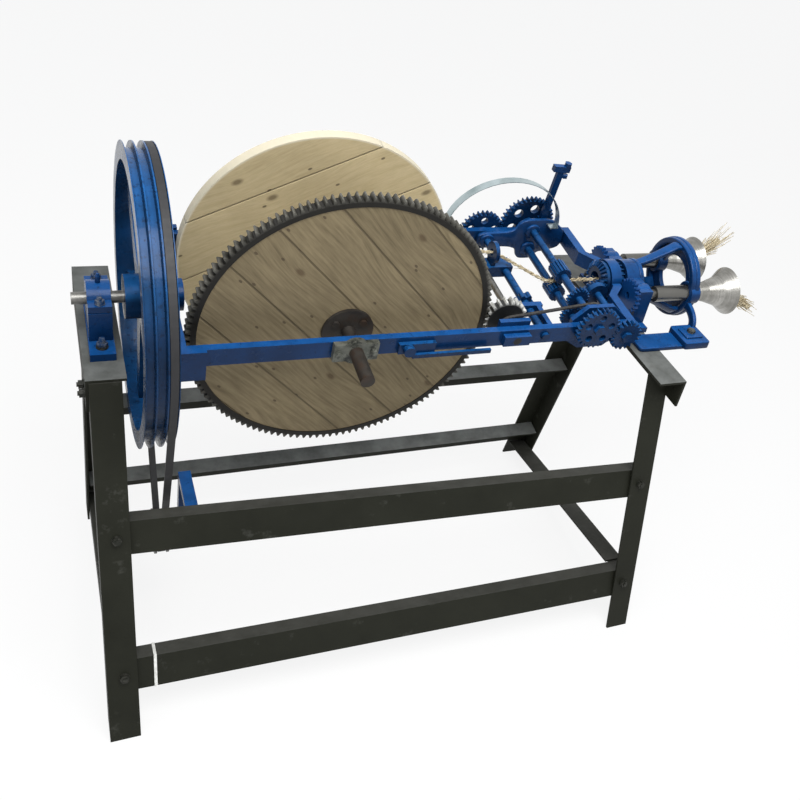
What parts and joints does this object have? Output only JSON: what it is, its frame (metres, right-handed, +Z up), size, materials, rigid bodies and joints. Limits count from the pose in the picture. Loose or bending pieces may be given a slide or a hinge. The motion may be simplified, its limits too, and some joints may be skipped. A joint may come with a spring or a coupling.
{
  "type": "rope making machine",
  "caption": "Straw rope twisting and winding machine: belt wheel, turning frame with geared plank reel, drawing rollers, twin feed bells, angle iron stand.",
  "frame": {"origin": "on the floor, under the middle of the outline", "axes": "+X along the turning axis from belt wheel to feed bells, +Y from the ring gear side to the far side, +Z up"},
  "size_m": [1.6636, 0.781, 1.1256],
  "materials": {
    "stand_paint": "semi-gloss dark olive grey",
    "blue_paint": "gloss royal blue",
    "blue_gears": "gloss blue, worn on the teeth",
    "bare_steel": "oiled steel",
    "spring_steel": "bright strip",
    "belt_rubber": "matt",
    "chain_steel": "oiled",
    "plank_wood": "rough sawn plank",
    "dark_iron": "oiled",
    "bell_aluminium": "dull cast",
    "straw": "fibrous"
  },
  "bodies": {
    "stand": {"left_top_bar": "stand_paint", "right_top_bar": "stand_paint", "front_left_leg": "stand_paint", "front_right_leg": "stand_paint", "back_left_leg": "stand_paint", "back_right_leg": "stand_paint", "front_mid_rail": "stand_paint", "front_bottom_rail": "stand_paint", "back_mid_rail": "stand_paint", "back_bottom_rail": "stand_paint", "left_brace": "stand_paint", "right_brace": "stand_paint", "stand_bolts": "bare_steel", "pillow_foot": "blue_paint", "pillow_cap": "blue_paint", "pulley_bracket": "blue_paint", "drive_belt": "belt_rubber", "right_housing": "blue_paint", "fixed_sleeve": "bare_steel", "feeder_cage": "blue_paint", "feeder_base": "blue_paint", "front_straw": "straw", "rear_straw": "straw"},
    "rotor": {"drive_wheel": "blue_paint", "main_shaft": "bare_steel", "frame_end_bar": "blue_paint", "front_bar": "blue_paint", "back_bar": "blue_paint", "yoke": "blue_paint", "hub_gear": "blue_gears", "front_bearing_plate": "blue_paint", "back_bearing_plate": "blue_paint", "front_reel_bearing": "bare_steel", "back_reel_bearing": "bare_steel", "pinion_bracket": "blue_paint", "traverse_bracket": "blue_paint", "guide_rod": "bare_steel", "reel_chain": "chain_steel", "brake_latch": "blue_paint", "spring_strip": "spring_steel", "lever_pivot": "blue_paint", "straw_rope": "straw"},
    "reel": {"front_disc": "plank_wood", "ring_gear": "dark_iron", "back_disc": "plank_wood", "reel_drum": "plank_wood", "reel_shaft": "bare_steel"},
    "motor_pulley": {"motor_pulley": "dark_iron"},
    "front_cross_shaft": {"front_cross_shaft": "blue_gears"},
    "lower_roller": {"lower_roller": "blue_gears"},
    "upper_roller": {"upper_roller": "blue_gears"},
    "reel_pinion": {"reel_pinion": "dark_iron"},
    "traverse_screw": {"traverse_screw": "blue_gears"},
    "guide_carriage": {"guide_carriage": "blue_paint", "winding_rope": "straw"},
    "tension_lever": {"tension_lever": "blue_paint"},
    "front_bell": {"front_bell": "bell_aluminium"},
    "rear_bell": {"rear_bell": "bell_aluminium"}
  },
  "joints": [
    {"name": "rotor_spin", "type": "hinge", "parent": "stand", "child": "rotor", "pos_m": [-0.77325, 0.082, 0.803], "axis": [1, 0, 0], "continuous": true},
    {"name": "reel_spin", "type": "hinge", "parent": "rotor", "child": "reel", "pos_m": [-0.26025, 0.082, 0.803], "axis": [0, 0.9954, 0.0958], "continuous": true},
    {"name": "pulley_spin", "type": "hinge", "parent": "stand", "child": "motor_pulley", "pos_m": [-0.63025, -0.046, 0.25], "axis": [1, 0, 0], "continuous": true},
    {"name": "front_cross_spin", "type": "hinge", "parent": "rotor", "child": "front_cross_shaft", "pos_m": [0.40175, 0.082, 0.803], "axis": [0, 0.9954, 0.0958], "continuous": true},
    {"name": "lower_roller_spin", "type": "hinge", "parent": "rotor", "child": "lower_roller", "pos_m": [0.31589, 0.08459, 0.77612], "axis": [0, 0.9954, 0.0958], "continuous": true},
    {"name": "upper_roller_spin", "type": "hinge", "parent": "rotor", "child": "upper_roller", "pos_m": [0.31589, 0.07941, 0.82988], "axis": [0, 0.9954, 0.0958], "continuous": true},
    {"name": "pinion_spin", "type": "hinge", "parent": "rotor", "child": "reel_pinion", "pos_m": [0.11475, 0.082, 0.803], "axis": [0, 0.9954, 0.0958], "continuous": true},
    {"name": "screw_spin", "type": "hinge", "parent": "rotor", "child": "traverse_screw", "pos_m": [0.19078, 0.082, 0.803], "axis": [0, 0.9954, 0.0958], "continuous": true},
    {"name": "carriage_slide", "type": "slide", "parent": "rotor", "child": "guide_carriage", "axis": [0, 0.9954, 0.0958], "range_m": [-0.1, 0.05]},
    {"name": "tension_lever_swing", "type": "hinge", "parent": "rotor", "child": "tension_lever", "pos_m": [0.34475, 0.2644, 0.85974], "axis": [0, 0.9954, 0.0958], "range_deg": [-30, 30]},
    {"name": "front_bell_spin", "type": "hinge", "parent": "stand", "child": "front_bell", "pos_m": [0.47875, 0.002, 0.803], "axis": [1, 0, 0], "continuous": true},
    {"name": "rear_bell_spin", "type": "hinge", "parent": "stand", "child": "rear_bell", "pos_m": [0.47875, 0.162, 0.803], "axis": [1, 0, 0], "continuous": true}
  ],
  "couplings": [
    {"joint": "pulley_spin", "follows": "rotor_spin", "ratio": 7.0819},
    {"joint": "front_cross_spin", "follows": "rotor_spin", "ratio": -1.5},
    {"joint": "upper_roller_spin", "follows": "rotor_spin", "ratio": 1.0962},
    {"joint": "lower_roller_spin", "follows": "rotor_spin", "ratio": -1.0962},
    {"joint": "pinion_spin", "follows": "rotor_spin", "ratio": 1.0962},
    {"joint": "reel_spin", "follows": "rotor_spin", "ratio": -0.16864},
    {"joint": "screw_spin", "follows": "rotor_spin", "ratio": -1.4093},
    {"joint": "front_bell_spin", "follows": "rotor_spin", "ratio": -1},
    {"joint": "rear_bell_spin", "follows": "rotor_spin", "ratio": -1}
  ]
}
